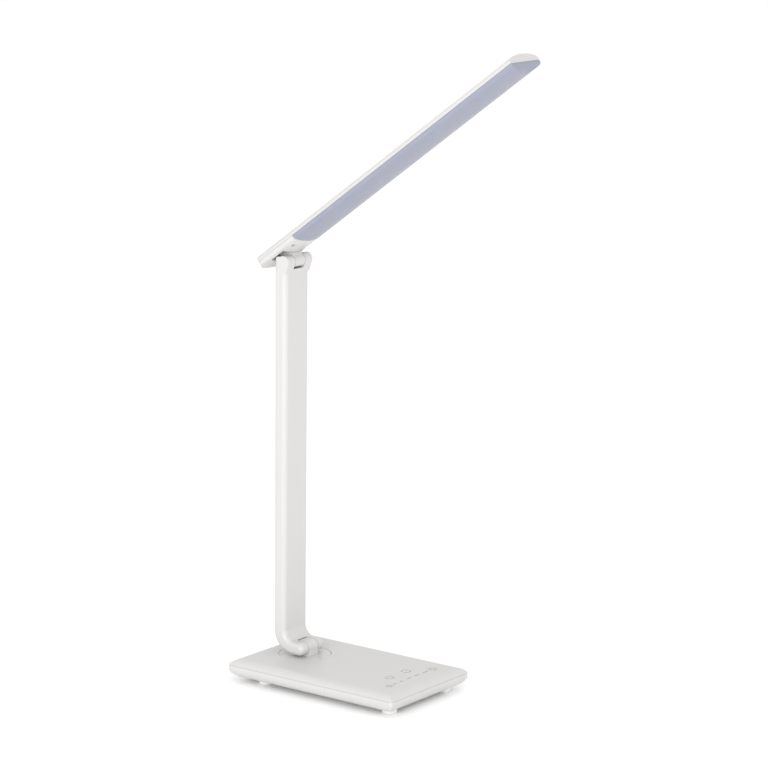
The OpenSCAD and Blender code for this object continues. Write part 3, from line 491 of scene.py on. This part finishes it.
def tone_paths(x, y, r, z):
    """Two facing arcs, each with a short tail."""
    starts, sweep = (20, 200), 140
    tail_y, tail_in, tail_out = 0.34 * r, 0.94 * r, 1.3 * r
    paths = [(arc((x, y), r, start, sweep, z), False) for start in starts]
    for way in (1, -1):
        level = y + way * tail_y
        paths.append(([(x + way * tail_in, level, z), (x + way * tail_out, level, z)], False))
    return paths


def sun_paths(x, y, r, z):
    """A ring with short rays round it."""
    paths = [(arc((x, y), r, 0, 360, z, steps=24)[:-1], True)]
    for k in range(SUN_RAYS):
        turn = math.radians(360 / SUN_RAYS * (k + 0.5))
        c, s = r * math.cos(turn), r * math.sin(turn)
        ends = [(x + far * c, y + far * s, z) for far in (RAY_START, RAY_END)]
        paths.append((ends, False))
    return paths


class LAMP_OT_touch_marks(bpy.types.Operator):
    """Grey printed touch marks: a power ring, a tone ring, and the slider between two suns"""

    bl_idname = "lamp.touch_marks"
    bl_label = "Touch marks"

    def execute(self, context):
        s = context.scene.lamp_marks
        colour = context.scene.lamp_finish.mark_colour
        ink, _ = moulded("grey_mark_ink", colour, gloss=0.45, drift=0.85, grain=3000.0, height=0.05)
        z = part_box("base_top_cover")[1][2]
        r = (s.ring_diameter - s.stroke) / 2
        printed("power_mark", power_paths(-s.ring_offset, -s.ring_row, r, z), s.stroke, ink)
        printed("tone_mark", tone_paths(s.ring_offset, -s.ring_row, r, z), s.stroke, ink)
        dashes = [
            ([((mid + half) * MM, -s.slider_row, z) for half in (-long / 2, long / 2)], False)
            for mid, long in SLIDER_DASHES
        ]
        printed("slider_mark", dashes, s.stroke * DASH_WIDTH, ink)
        for name, (mid, radius) in SUNS.items():
            rays = sun_paths(mid * MM, -s.slider_row, radius * MM, z)
            printed(name, rays, s.stroke * SUN_WIDTH, ink)
        return {"FINISHED"}


# ---- Studio


LIGHT_TARGET = Vector((0.0, -0.03, 0.3))
KEY_PLACE = Vector((-2.9, -0.9, 0.75))
FILL_PLACE = Vector((0.4, -3.0, 0.75))
LIGHT_SIZE = (1.8, 1.2)
FLOOR_HALF = 20.0
# The camera's turn from +Y, its dip and its roll, in degrees; lens and sensor in millimetres
CAMERA_ANGLES = (-53.42, 11.62, 0.61)
CAMERA_PLACE = Vector((-2.213, -1.6811, 0.8605))
CAMERA_LENS, SENSOR_WIDTH = 144.7, 36.0


def area_light(name, place, power):
    """A large soft light, aimed at the middle of the lamp."""
    data = bpy.data.lights.new(name, "AREA")
    data.shape = "RECTANGLE"
    data.size, data.size_y = LIGHT_SIZE
    data.energy = power
    o = bpy.data.objects.new(name, data)
    bpy.context.scene.collection.objects.link(o)
    way = LIGHT_TARGET - place
    o.matrix_world = Matrix.Translation(place) @ way.to_track_quat("-Z", "Y").to_matrix().to_4x4()


class LAMP_OT_studio(bpy.types.Operator):
    """Pale floor, soft lights and the camera at the angle of the photo"""

    bl_idname = "lamp.studio"
    bl_label = "Studio"

    def execute(self, context):
        scene = context.scene
        s = scene.lamp_studio
        bm = bmesh.new()
        bmesh.ops.create_grid(bm, x_segments=8, y_segments=8, size=FLOOR_HALF)
        mesh = bpy.data.meshes.new("floor")
        bm.to_mesh(mesh)
        bm.free()
        floor = bpy.data.objects.new("floor", mesh)
        scene.collection.objects.link(floor)
        matt, skin = moulded(
            "pale_floor",
            s.floor_colour,
            gloss=0.85,
            drift=0.99,
            grain=40.0,
            height=0.02,
            drift_size=0.7,
        )
        skin.inputs["Specular IOR Level"].default_value = 0.2
        mesh.materials.append(matt)
        world = bpy.data.worlds.new("studio")
        world.use_nodes = True
        back = world.node_tree.nodes["Background"]
        back.inputs["Color"].default_value = (1.0, 1.0, 1.0, 1.0)
        back.inputs["Strength"].default_value = s.sky
        scene.world = world
        area_light("key_light", KEY_PLACE, s.key_power)
        area_light("fill_light", FILL_PLACE, s.fill_power)
        scene.view_settings.view_transform = "Standard"
        scene.camera = photo_camera()
        return {"FINISHED"}


def photo_camera():
    """The camera that the photo was taken with, found from the lamp's own edges."""
    turn, dip, roll = (math.radians(a) for a in CAMERA_ANGLES)
    right = Vector((math.cos(turn), math.sin(turn), 0.0))
    back = Vector((math.sin(turn) * math.cos(dip), -math.cos(turn) * math.cos(dip), math.sin(dip)))
    up = back.cross(right)
    right, up = (
        math.cos(roll) * right + math.sin(roll) * up,
        math.cos(roll) * up - math.sin(roll) * right,
    )
    data = bpy.data.cameras.new("photo_camera")
    data.sensor_width = SENSOR_WIDTH
    data.lens = CAMERA_LENS
    data.clip_start, data.clip_end = 0.05, 60.0
    o = bpy.data.objects.new("photo_camera", data)
    bpy.context.scene.collection.objects.link(o)
    o.matrix_world = Matrix(
        (
            (right.x, up.x, back.x, CAMERA_PLACE.x),
            (right.y, up.y, back.y, CAMERA_PLACE.y),
            (right.z, up.z, back.z, CAMERA_PLACE.z),
            (0.0, 0.0, 0.0, 1.0),
        )
    )
    return o


class LAMP_PT_looks(bpy.types.Panel):
    """Lists the steps and their settings"""

    bl_idname = "LAMP_PT_looks"
    bl_label = "Desk lamp"
    bl_space_type = "VIEW_3D"
    bl_region_type = "UI"
    bl_category = "Desk lamp"

    def draw(self, context):
        col = self.layout.column()
        for group in ("lamp_finish", "lamp_marks", "lamp_studio"):
            settings = getattr(context.scene, group)
            for key in settings.__annotations__:
                col.prop(settings, key)
        for step in STEPS:
            col.operator(step.bl_idname)


STEPS = (
    LAMP_OT_white_covers,
    LAMP_OT_diffuser,
    LAMP_OT_foot_pads,
    LAMP_OT_inner_parts,
    LAMP_OT_touch_marks,
    LAMP_OT_studio,
)
GROUPS = {
    "lamp_finish": LampFinishSettings,
    "lamp_marks": TouchMarkSettings,
    "lamp_studio": StudioSettings,
}


def register():
    for c in (*GROUPS.values(), *STEPS, LAMP_PT_looks):
        bpy.utils.register_class(c)
    for name, c in GROUPS.items():
        setattr(bpy.types.Scene, name, bpy.props.PointerProperty(type=c))


def unregister():
    for name in GROUPS:
        delattr(bpy.types.Scene, name)
    for c in reversed((*GROUPS.values(), *STEPS, LAMP_PT_looks)):
        bpy.utils.unregister_class(c)


def main():
    register()
    for step in STEPS:
        area, name = step.bl_idname.split(".")
        getattr(getattr(bpy.ops, area), name)()


if __name__ == "__main__":
    main()
